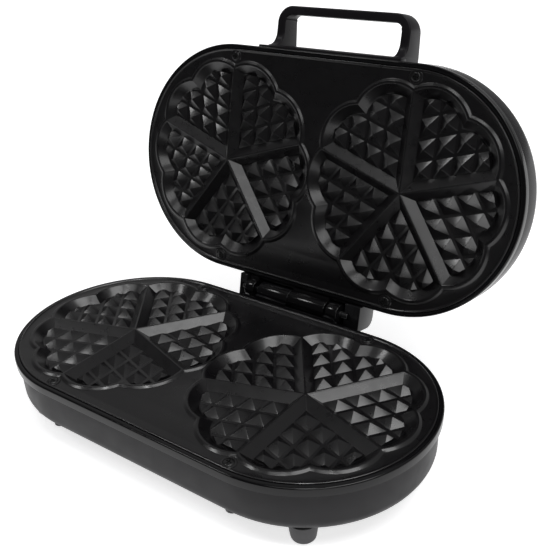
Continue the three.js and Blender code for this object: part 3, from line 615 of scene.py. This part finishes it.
def fine_plate():
    centres = (-SPAN, SPAN)
    bm = in_every_heart(heart_cell())
    bmesh.ops.remove_doubles(bm, verts=bm.verts, dist=1e-4)
    # The crest rings are the only open edges so far.
    crest_loops = open_loops(bm)
    lip = [(PLATE_R - 1.9, PLATE_TOP), (PLATE_R - 1.5, PLATE_TOP + 0.12), (PLATE_R - 1.0, -0.1),
           (PLATE_R - 0.7, 0.06), (PLATE_R - 0.35, 0.08), (PLATE_R - 0.08, -0.08), (PLATE_R, -0.4),
           (PLATE_R, PLATE_BOTTOM)]
    lip_rings = [ring(bm, stadium(r, z)) for r, z in lip]
    for first, second in zip(lip_rings, lip_rings[1:]):
        bridge(bm, first, second)
    bead = [(4.75, PLATE_TOP), (4.4, PLATE_TOP + 0.06), (4.1, -0.48), (2.78, 0.59), (2.6, 0.7),
            (2.35, BEAD_TOP)]
    feet = []
    tubs = []
    for x in centres:
        bead_rings = [ring(bm, rosette(x, offset, z)) for offset, z in bead]
        for first, second in zip(bead_rings, bead_rings[1:]):
            bridge(bm, first, second)
        inside = [loop for loop in crest_loops if loop[0].co.x * x > 0]
        fill(bm, [bead_rings[-1], *inside])
        feet.append(bead_rings[0])
        tub = [ring(bm, rosette(x, -TUB_INSET, z)) for z in (PLATE_BOTTOM, TUB_BOTTOM)]
        bridge(bm, tub[0], tub[1])
        fill(bm, [tub[1]])
        tubs.append(tub[0])
    fill(bm, [lip_rings[0], *feet])
    fill(bm, [lip_rings[-1], *tubs])
    closed(bm)
    places = screw_places()
    boss = [(0, PLATE_TOP - 1), (5.3, PLATE_TOP - 1), (5.2, PLATE_TOP + 0.2), (4.9, PLATE_TOP + 0.55),
            (4.5, PLATE_TOP + 0.65), (0, PLATE_TOP + 0.65)]
    bosses = [moved(turned(boss), Matrix.Translation((x, y, 0))) for x, y in places]
    head_holes = [post(SCREW_HEAD_R + CLEAR, SCREW_SEAT - CLEAR, 3, x, y) for x, y in places]
    shank_holes = [post(SCREW_SHANK_R + CLEAR, PLATE_BOTTOM - 1, 0, x, y) for x, y in places]
    pyramids = in_every_heart(merged(*[pyramid(row, column) for row, column in pyramid_places()]))
    whole = join(bm, merged(*bosses), pyramids)
    return cut(cut(whole, *head_holes), *shank_holes)


def open_loops(bm):
    """The closed runs of edges that have one face only, as lists of vertices."""
    nexts = {}
    for edge in bm.edges:
        if len(edge.link_faces) == 1:
            for vertex in edge.verts:
                nexts.setdefault(vertex, []).append(edge.other_vert(vertex))
    loops = []
    while nexts:
        start = min(nexts, key=lambda v: v.index)
        loop = [start]
        while True:
            following = [v for v in nexts.pop(loop[-1]) if v in nexts]
            if not following:
                break
            loop.append(following[0])
        loops.append(loop)
    return loops


def screw_places():
    return [(-SPAN, -SCREW_Y), (SPAN, -SCREW_Y), (-SPAN, SCREW_Y), (SPAN, SCREW_Y)]


def phillips_screw(head_r, head_height, shank_length):
    """The underside of the head is at z = 0 and the shank points down."""
    dome = [(head_r, 0.15), (head_r, head_height - 0.75), (head_r * 0.93, head_height - 0.4),
            (head_r * 0.75, head_height - 0.12), (head_r * 0.45, head_height), (0, head_height)]
    under = [(0, -shank_length), (SCREW_SHANK_R - 0.4, -shank_length),
             (SCREW_SHANK_R, -shank_length + 0.4), (SCREW_SHANK_R, 0), (head_r - 0.15, 0)]
    body = turned([*under, *dome], 40)
    arm = head_r * 0.58
    half = 0.42
    low, high = head_height - 0.9, head_height + 1
    long_way = block(-arm, arm, -half, half, low, high)
    cross_way = block(-half, half, -arm, arm, low, high)
    return cut(cut(body, long_way), cross_way)


CORNERS = ("front_left", "front_right", "rear_left", "rear_right")


def copies(make, names, slot, body, places):
    """One mesh from make() placed once per name."""
    for name, place in zip(names, places):
        piece(name + "_fine", make(), place, body, slot, name)


# ---- Build the plates ----
plate_mesh = fine_plate()
piece("lower_plate_fine", plate_mesh.copy(), TO_BASE, "base",
      "nonstick_plate", "lower_waffle_plate", sharp=24)
piece("upper_plate_fine", plate_mesh, TO_LID, "lid",
      "nonstick_plate", "upper_waffle_plate", sharp=24)


def plate_screw():
    return moved(phillips_screw(SCREW_HEAD_R, 1.4, PLATE_SCREW), Matrix.Translation((0, 0, SCREW_SEAT)))


screw_shifts = [Matrix.Translation((x, y, 0)) for x, y in screw_places()]
copies(plate_screw, [f"lower_plate_screw_{c}" for c in CORNERS], "plate_screw_steel", "base",
       [TO_BASE @ shift for shift in screw_shifts])
copies(plate_screw, [f"upper_plate_screw_{c}" for c in CORNERS], "plate_screw_steel", "lid",
       [TO_LID @ shift for shift in screw_shifts])


# ---- Bezels ----
def fine_bezel():
    mouth = PLATE_R + CLEAR
    ring_body = stadium_ring([
        (LEDGE_R, LEDGE_BOTTOM), (SKIRT_R, LEDGE_BOTTOM), (SKIRT_R, BEZEL_SKIRT),
        (BEZEL_R - 0.4, BEZEL_SKIRT), (BEZEL_R, BEZEL_SKIRT + 0.4),
        *arc(BEZEL_R - 1.2, BEZEL_TOP - 1.2, 1.2, 0, 90, 5),
        (mouth + 0.3, BEZEL_TOP), (mouth, BEZEL_TOP - 0.3), (mouth, PLATE_BOTTOM - CLEAR),
        (LEDGE_R, PLATE_BOTTOM - CLEAR),
    ])
    holes = [
        post(SCREW_SHANK_R + CLEAR, LEDGE_BOTTOM - 1, PLATE_BOTTOM, x, y)
        for x, y in screw_places()]
    return cut(ring_body, *holes)


piece("base_bezel_fine", fine_bezel(), TO_BASE, "base", "black_plastic", "base_bezel")
piece("lid_bezel_fine", fine_bezel(), TO_LID, "lid", "black_plastic", "lid_bezel")


# ---- Shells ----
def shell_bosses(bottom):
    """Posts under the plate screws, from the shell's floor to the bezel."""
    return [post(BOSS_R, bottom, LEDGE_BOTTOM - CLEAR, x, y) for x, y in screw_places()]


def boss_holes():
    return [post(SCREW_SHANK_R + CLEAR, BOSS_HOLE_END, 0, x, y) for x, y in screw_places()]


def cover_screw_places():
    reach = (COVER_R - 2.8) / math.sqrt(2)
    return [(sx * (SPAN + reach), sy * reach) for sy in (-1, 1) for sx in (-1, 1)]


def shell_edge(radius):
    """The top edge of a shell, from its outside to its inside: a rounded step and a rim."""
    step = arc(radius - 0.5, SHELL_TOP - 0.5, 0.5, 0, 90, 4)
    return [*step, (RIM_R, SHELL_TOP), (RIM_R, RIM_TOP + 0.3), (RIM_R - 0.3, RIM_TOP),
            (SHELL_R - SHELL_WALL, RIM_TOP)]


def fine_base_shell():
    inner = SHELL_R - SHELL_WALL
    ledge = BASE_BOTTOM + COVER_THICK + CLEAR
    floor_top = ledge + 2
    corner_z = BASE_BOTTOM + BASE_CORNER
    corner_r = SHELL_R - BASE_TAPER - BASE_CORNER
    body = stadium_ring([
        *shell_edge(SHELL_R),
        (inner, corner_z), (inner - 2, floor_top + 2), (corner_r, floor_top),
        (COVER_R - COVER_SEAT, floor_top), (COVER_R - COVER_SEAT, ledge), (COVER_R + CLEAR, ledge),
        (COVER_R + CLEAR, BASE_BOTTOM + 0.3), (COVER_R + CLEAR + 0.3, BASE_BOTTOM),
        *arc(corner_r, corner_z, BASE_CORNER, -90, 0, 10),
    ])
    posts = [
        post(POST_R, floor_top - 0.6, POST_END, x, math.copysign(BASE_POST_Y, y))
        for x, y in screw_places()]
    with_posts = join(body, merged(*shell_bosses(floor_top - 1.4), *posts))
    holes = [post(COVER_SCREW_HOLE_R, BASE_BOTTOM, 0, x, y) for x, y in cover_screw_places()]
    gland = rod_y(GLAND_R + CLEAR, GLAND_Y - 3, GLAND_Y + 12, GLAND_X, GLAND_Z)
    return cut(with_posts, *boss_holes(), *holes, gland)


def fine_lid_shell():
    inner = LID_SHELL_R - SHELL_WALL
    roof = LID_TOP + SHELL_WALL
    corner_z = LID_TOP + LID_CORNER
    corner_r = LID_SHELL_R + LID_FLARE - LID_CORNER
    edge = shell_edge(LID_SHELL_R)
    body = stadium_solid([
        (corner_r - 1, roof), (inner - 3.2, roof + 3), (inner, corner_z), (inner, SHELL_TOP - 3),
        (SHELL_R - SHELL_WALL, SHELL_TOP - 1), *reversed(edge),
        *arc(corner_r, corner_z, LID_CORNER, 0, -90, 12),
    ])
    posts = [
        post(POST_R, roof - 0.6, POST_END, x, y)
        for x in (-LID_POST_X, LID_POST_X) for y in (-LID_POST_Y, LID_POST_Y)]
    with_posts = join(body, merged(*shell_bosses(roof - 0.6), *posts))
    lamps = [post(LAMP_R + CLEAR, LID_TOP - 2, roof + 2, x, LAMP_Y) for x in (-LAMP_X, LAMP_X)]
    screws = [
        rod_y(HANDLE_BOSS_R + CLEAR, -95, -80, x, 2 * HALF_GAP - HANDLE_SCREW_Z)
        for x in (-HANDLE_SCREW_X, HANDLE_SCREW_X)]
    return cut(with_posts, *boss_holes(), *lamps, *screws)


piece("base_shell_fine", fine_base_shell(), TO_BASE, "base", "shell_plastic", "base_shell")
piece("lid_shell_fine", fine_lid_shell(), TO_LID, "lid", "lid_plastic", "lid_shell")


def fine_cover():
    plate = stadium_solid([
        (COVER_R - 0.2, BASE_BOTTOM), (COVER_R, BASE_BOTTOM + 0.2), (COVER_R, BASE_BOTTOM + COVER_THICK)])
    vents = [
        block(side * VENT_CENTRE - VENT_HALF, side * VENT_CENTRE + VENT_HALF,
              k * VENT_PITCH - VENT_WIDTH_HALF, k * VENT_PITCH + VENT_WIDTH_HALF,
              BASE_BOTTOM - 1, BASE_BOTTOM + 3, 1.5)
        for side in (-1, 1) for k in range(-2, 3)]
    holes = [post(COVER_SCREW_HOLE_R, BASE_BOTTOM - 1, 0, x, y) for x, y in cover_screw_places()]
    return cut(plate, *vents, *holes)


piece("bottom_cover_fine", fine_cover(), TO_BASE, "base", "cover_metal", "base_bottom_cover")


def cover_screw():
    return moved(phillips_screw(3, 1.6, 3), Matrix.Rotation(math.pi, 4, "X"))


copies(cover_screw, [f"cover_screw_{c}" for c in CORNERS], "screw_steel", "base",
       [TO_BASE @ Matrix.Translation((x, y, BASE_BOTTOM - CLEAR)) for x, y in cover_screw_places()])


def foot():
    bottom = arc(5.6, TABLE + 2.6, 2.6, -90, -12, 6)
    top = BASE_BOTTOM - CLEAR
    return turned([
        (0, TABLE), *bottom, (8.6, TABLE + 5), (9.1, TABLE + 9), (9.5, top - 0.8),
        (9.5, top - 0.3), (9.2, top), (0, top)], 56)


def foot_place(corner):
    low, high = frame_box(f"foot_{corner}")
    return TO_BASE @ Matrix.Translation(((low.x + high.x) / 2, (low.y + high.y) / 2 - CENTRE_Y, 0))


copies(foot, [f"foot_{c}" for c in CORNERS], "foot_rubber", "base", [foot_place(c) for c in CORNERS])


def fine_gland():
    collar = turned([
        (0, 0), (GLAND_R - 0.2, 0), (GLAND_R, 0.2), (GLAND_R, 5.2), (7.3, 5.2), (7.6, 5.5), (7.6, 7.3),
        (7.2, 7.7), (6.5, 7.9), (6.3, 8.4), (6.0, 9.2), (5.7, 9.4), (3, 9.4), (3, 6), (0, 6)])
    turn = Matrix.Rotation(-math.pi / 2, 4, "X")
    return moved(collar, Matrix.Translation((GLAND_X, GLAND_Y, GLAND_Z)) @ turn)


piece("cord_gland_fine", fine_gland(), TO_BASE, "base", "black_plastic", "cord_gland")


# ---- Hinge ----
def knuckle_spans(side):
    """A bracket's long knuckle and short one, as ranges of x. side is 1 for the lid, -1 for the base."""
    gap = side * CLEAR
    long_knuckle = (KNUCKLE_MEETING + gap, side * LONG_KNUCKLE_END)
    short_knuckle = LID_SHORT_KNUCKLE if side > 0 else BASE_SHORT_KNUCKLE
    return [(min(long_knuckle), max(long_knuckle)), short_knuckle]


def bracket_solid(side, plate_span, web_span):
    """The bracket's plate, with a web and a barrel for each knuckle. Heights are from the axis."""
    solid = block(
        -BRACKET_HALF, BRACKET_HALF, BRACKET_FRONT, BRACKET_BACK,
        HINGE_Z + plate_span[0], HINGE_Z + plate_span[1], 0.5)
    for a, b in knuckle_spans(side):
        web = block(
            a + 0.05, b - 0.05, BRACKET_FRONT + 0.1, HINGE_Y - 0.5,
            HINGE_Z + web_span[0], HINGE_Z + web_span[1], 0.2)
        solid = join(solid, web, rod_x(BARREL_R, a, b, HINGE_Y, HINGE_Z, 0.6, 64))
    return solid


def bored_for_pin(solid):
    return cut(solid, rod_x(PIN_R + CLEAR, -50, 50, HINGE_Y, HINGE_Z, 0.05, 32))


def fine_base_bracket():
    stop = block(-44, 44, HINGE_Y - 9, HINGE_Y - 4.1, HINGE_Z - 11, HINGE_Z - 8.6, 0.4)
    pad = block(
        -PAD_HALF, PAD_HALF, SHELL_R + CLEAR, PAD_BACK, HINGE_Z - PAD_REACH, SHELL_TOP - 0.5, 0.3)
    return bored_for_pin(join(bracket_solid(-1, (-17, -2.4), (-4.9, 0)), stop, pad))


def fine_lid_bracket():
    pad = block(
        -PAD_HALF, PAD_HALF, LID_SHELL_R + LID_FLARE + CLEAR, PAD_BACK,
        2 * HALF_GAP - SHELL_TOP + 0.5, HINGE_Z + PAD_REACH, 0.3)
    squared = block(-44.2, -36.1, HINGE_Y - 7.2, HINGE_Y + 1, HINGE_Z + 1, HINGE_Z + 15, 0.5)
    return bored_for_pin(join(bracket_solid(1, (3, 17), (0, 5)), pad, squared))


def housing_outline(front, back, low, high, corner):
    return [(front, low), (back, low), *arc(back - corner, high - corner, corner, 0, 90, 10), (front, high)]


def fine_housing():
    skin = HOUSING_SKIN
    outside = housing_outline(BRACKET_FRONT, HOUSING_BACK, HOUSING_LOW, HOUSING_HIGH, HOUSING_CORNER)
    inside = housing_outline(
        BRACKET_FRONT - 1, HOUSING_BACK - skin, -1, HOUSING_HIGH - skin, HOUSING_CORNER - skin)
    body = rounded(profile_along_x(outside, HOUSING_LEFT, HOUSING_RIGHT), 0.7, 3)
    cavity = profile_along_x(inside, -CHEEK_INNER, CHEEK_INNER)
    bore = rod_x(PIN_R + CLEAR, -PIN_HALF - 1, PIN_HALF + 1, HINGE_Y, HINGE_Z, 0.05, 32)
    return cut(cut(body, cavity), bore)


piece("base_bracket_fine", fine_base_bracket(), TO_BASE, "base", "black_plastic", "base_hinge_bracket")
piece("lid_bracket_fine", fine_lid_bracket(), TO_CLOSED_LID, "lid", "black_plastic", "lid_hinge_bracket")
piece("hinge_housing_fine", fine_housing(), TO_CLOSED_LID, "lid", "black_plastic", "lid_hinge_housing")
piece("hinge_pin_fine", rod_x(PIN_R, -PIN_HALF, PIN_HALF, HINGE_Y, HINGE_Z, 0.6), TO_BASE, "base",
      "pin_steel", "hinge_pin")


# ---- Handle ----
def grip_path():
    """(x, y, direction across the bar) from the left root over the corners to the right root."""
    half, front, corner = HANDLE_HALF, -HANDLE_FRONT, HANDLE_CORNER
    flare = [HANDLE_FLARE * (1 - math.cos(math.radians(a))) for a in range(0, 91, 9)]
    path = [(-half, -HANDLE_ROOT + 6, Vector((1, 0, 0)))]
    for reach in flare:
        path.append((-half, -HANDLE_ROOT - reach, Vector((1, 0, 0))))
    for i in range(1, 15):
        a = math.pi + math.pi / 2 * i / 14
        out = Vector((math.cos(a), math.sin(a), 0))
        path.append((-half + corner + corner * out.x, front + corner + corner * out.y, -out))
    right = [(-x, y, Vector((-d.x, d.y, 0))) for x, y, d in reversed(path)]
    return [*path, *right]


def leg_low(y):
    """The underside of a leg, which drops towards the lid in a hollow quarter curve."""
    share = min(1.0, max(0.0, (y + HANDLE_ROOT + HANDLE_FLARE) / HANDLE_FLARE))
    return HANDLE_LOW - (HANDLE_LOW - HANDLE_STEP) * (1 - math.sqrt(1 - share * share))


def leg_high(y):
    """The upper face of a leg, which rises towards the lid."""
    share = (y + HANDLE_FRONT) / (HANDLE_FRONT - HANDLE_ROOT)
    return HANDLE_HIGH + HANDLE_DRAFT * min(1.0, max(0.0, share))


def fine_grip():
    edge = HANDLE_EDGE
    bm = bmesh.new()
    rings = []
    for x, y, inward in grip_path():
        thick = HANDLE_LEG if abs(inward.y) < 0.5 else HANDLE_BAR
        low, high = leg_low(y), leg_high(y)
        section = [
            *arc(edge, low + edge, edge, 180, 270, 4), *arc(thick - edge, low + edge, edge, 270, 360, 4),
            *arc(thick - edge, high - edge, edge, 0, 90, 4), *arc(edge, high - edge, edge, 90, 180, 4)]
        rings.append(ring(bm, [Vector((x, y, z)) + inward * across for across, z in section]))
    for first, second in zip(rings, rings[1:]):
        bridge(bm, first, second)
    bm.faces.new(rings[0])
    bm.faces.new(rings[-1])
    return closed(bm)


def handle_saddle():
    """The block that seats the handle on the lid's front, with a longer strip along its lower edge."""
    root, top = -HANDLE_ROOT, HANDLE_HIGH + HANDLE_DRAFT
    outline = [(-80, HANDLE_STEP), (root, HANDLE_STEP), (root, top - 1.5), (root + 1.5, top),
               (-88, top), (-74, 2 * HALF_GAP - LID_TOP + 0.6), (-74, 30)]
    half = HANDLE_HALF - 0.2
    body = rounded(profile_along_x(outline, -half, half), 0.5, 2)
    strip = block(-STRIP_HALF, STRIP_HALF, root + 0.5, -80, 9, HANDLE_STEP + 2, 0.5)
    corner_z = LID_TOP + LID_CORNER
    reach = LID_SHELL_R + LID_FLARE + CLEAR
    curve = arc(reach - LID_CORNER, corner_z - CLEAR, LID_CORNER, -90, 0, 12)
    lid_body = stadium_solid([(r, 2 * HALF_GAP - z) for r, z in [*curve, (reach, 0)]])
    return cut(join(body, strip), lid_body)


def fine_handle():
    sides = (-HANDLE_SCREW_X, HANDLE_SCREW_X)
    bosses = [
        rod_y(HANDLE_BOSS_R, -HANDLE_ROOT + 0.8, -HANDLE_SEAT - 0.3, x, HANDLE_SCREW_Z)
        for x in sides]
    bores = [
        rod_y(SCREW_SHANK_R + CLEAR, -HANDLE_ROOT + 1.2, -80, x, HANDLE_SCREW_Z)
        for x in sides]
    return cut(join(handle_saddle(), fine_grip(), merged(*bosses)), *bores)


piece("handle_fine", fine_handle(), TO_CLOSED_LID, "lid", "handle_plastic", "handle")


def handle_screw():
    return moved(phillips_screw(6, 1.8, HANDLE_SCREW), Matrix.Rotation(-math.pi / 2, 4, "X"))


copies(handle_screw, ["handle_screw_left", "handle_screw_right"], "screw_steel", "lid",
       [TO_CLOSED_LID @ Matrix.Translation((x, -HANDLE_SEAT, HANDLE_SCREW_Z))
        for x in (-HANDLE_SCREW_X, HANDLE_SCREW_X)])


def lamp_lens():
    return turned([
        (0, LID_TOP - 1.6), (1.4, LID_TOP - 1.55), (2.6, LID_TOP - 1.35), (3.5, LID_TOP - 1.0),
        (4.0, LID_TOP - CLEAR - 0.4), (4.0, LID_TOP - CLEAR), (LAMP_R, LID_TOP - CLEAR),
        (LAMP_R, LID_TOP + 5), (0, LID_TOP + 5)])


copies(lamp_lens, ["power_lamp_lens"], "red_lens", "lid",
       [TO_LID @ Matrix.Translation((-LAMP_X, LAMP_Y, 0))])
copies(lamp_lens, ["ready_lamp_lens"], "green_lens", "lid",
       [TO_LID @ Matrix.Translation((LAMP_X, LAMP_Y, 0))])

# ---- CAD nodes that stay ----
for row in frame["record"]["subparts"]:
    node = frame["nodes"][row["node"]]
    if not node.hide_render:
        dress(node, row["material_slot"])

# ---- Stage ----
FLOOR_SIDE = 6.0
FLOOR_FRONT = -0.5
FLOOR_BACK = 12
floor_data = bpy.data.meshes.new("floor")
floor_corners = [
    (-FLOOR_SIDE, FLOOR_FRONT, 0), (FLOOR_SIDE, FLOOR_FRONT, 0),
    (FLOOR_SIDE, FLOOR_BACK, 0), (-FLOOR_SIDE, FLOOR_BACK, 0)]
floor_data.from_pydata(floor_corners, [], [(0, 1, 2, 3)])
floor = bpy.data.objects.new("floor", floor_data)
bpy.context.scene.collection.objects.link(floor)
floor_data.materials.append(finish(
    "floor_paint", (0.80, 0.80, 0.81), (0.84, 0.84, 0.85), 0.7, grain=60, bump=0.0,
    Emission_Color=(1, 1, 1, 1), Emission_Strength=0.66))

# The sky is darker towards the front (-Y) than behind the object.
FRONT_SKY = 0.06
BACK_SKY = 0.33
world = bpy.data.worlds.new("studio")
world.use_nodes = True
sky = world.node_tree
direction = sky.nodes.new("ShaderNodeTexCoord").outputs["Generated"]
parts = sky.nodes.new("ShaderNodeSeparateXYZ")
sky.links.new(direction, parts.inputs["Vector"])
strength = spread(sky, parts.outputs["Y"], FRONT_SKY, BACK_SKY, -0.3, 0.5)
sky.links.new(strength, sky.nodes["Background"].inputs["Strength"])
sky.nodes["Background"].inputs["Color"].default_value = (1, 1, 1, 1)
bpy.context.scene.world = world


def softbox(name, direction, strength, angle):
    """A soft light from far away, so that the whole floor is lit evenly."""
    light = bpy.data.lights.new(name, "SUN")
    light.energy = strength
    light.angle = math.radians(angle)
    holder = bpy.data.objects.new(name, light)
    holder.rotation_euler = Vector(direction).to_track_quat("Z", "Y").to_euler()
    bpy.context.scene.collection.objects.link(holder)


softbox("right", (0.40, 0.02, 0.91), 0.95, 26)
softbox("front_right", (0.50, -0.56, 0.66), 0.55, 26)
softbox("front", (0.04, -0.37, 0.93), 0.25, 20)
softbox("left", (-0.52, -0.36, 0.78), 0.30, 10)
softbox("strip", (0.12, -0.20, 0.97), 0.25, 6)

# ---- Camera ----
AZIMUTH = math.radians(37.60)
ELEVATION = math.radians(27.70)
ROLL = math.radians(-2.87)
CAMERA_PLACE = (0.32794, -0.40803, 0.36373)
back = Vector((
    math.sin(AZIMUTH) * math.cos(ELEVATION), -math.cos(AZIMUTH) * math.cos(ELEVATION), math.sin(ELEVATION)))
level_right = back.cross(Vector((0, 0, -1))).normalized()
level_up = back.cross(level_right)
right = math.cos(ROLL) * level_right + math.sin(ROLL) * level_up
up = math.cos(ROLL) * level_up - math.sin(ROLL) * level_right
camera_data = bpy.data.cameras.new("camera")
camera_data.lens = 52.92
camera_data.sensor_width = 36
camera_data.shift_x = 0.0118
camera_data.shift_y = 0.0189
camera = bpy.data.objects.new("camera", camera_data)
facing = Matrix((right, up, back)).transposed().to_4x4()
camera.matrix_world = Matrix.Translation(CAMERA_PLACE) @ facing
bpy.context.scene.collection.objects.link(camera)
bpy.context.scene.camera = camera
bpy.context.scene.view_settings.view_transform = "Standard"

bpy.context.view_layer.update()
